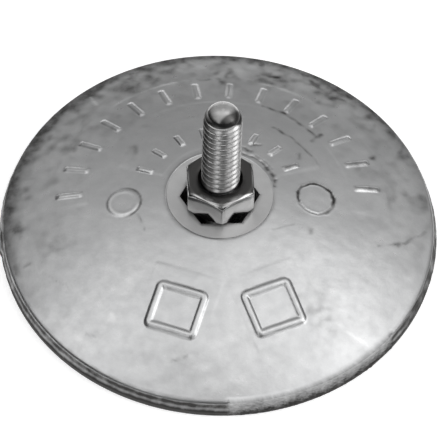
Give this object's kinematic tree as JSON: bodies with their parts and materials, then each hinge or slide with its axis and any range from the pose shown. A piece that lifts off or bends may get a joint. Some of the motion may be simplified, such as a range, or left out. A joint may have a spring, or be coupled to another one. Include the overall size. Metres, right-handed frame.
{
  "type": "sacrificial anode",
  "caption": "Round domed zinc sacrificial anode cast about a steel hub, with a threaded bolt standing through its centre and a hex nut seated over the hub's hexagonal pocket.",
  "frame": {"origin": "centre of the flat back, in its plane", "axes": "+Z along the bolt, out of the domed face; -Y towards the viewer of the picture; +X to the right"},
  "size_m": [0.0714, 0.0714, 0.034],
  "materials": {
    "cast_zinc": "as cast, satin grey",
    "plated_steel": "smooth, dull plated",
    "bolt_steel": "bright rolled thread",
    "nut_steel": "bright, polished flats"
  },
  "bodies": {
    "root": {"anode_casting": "cast_zinc", "hub_insert": "plated_steel", "hex_bolt": "bolt_steel", "hex_nut": "nut_steel"}
  },
  "joints": []
}
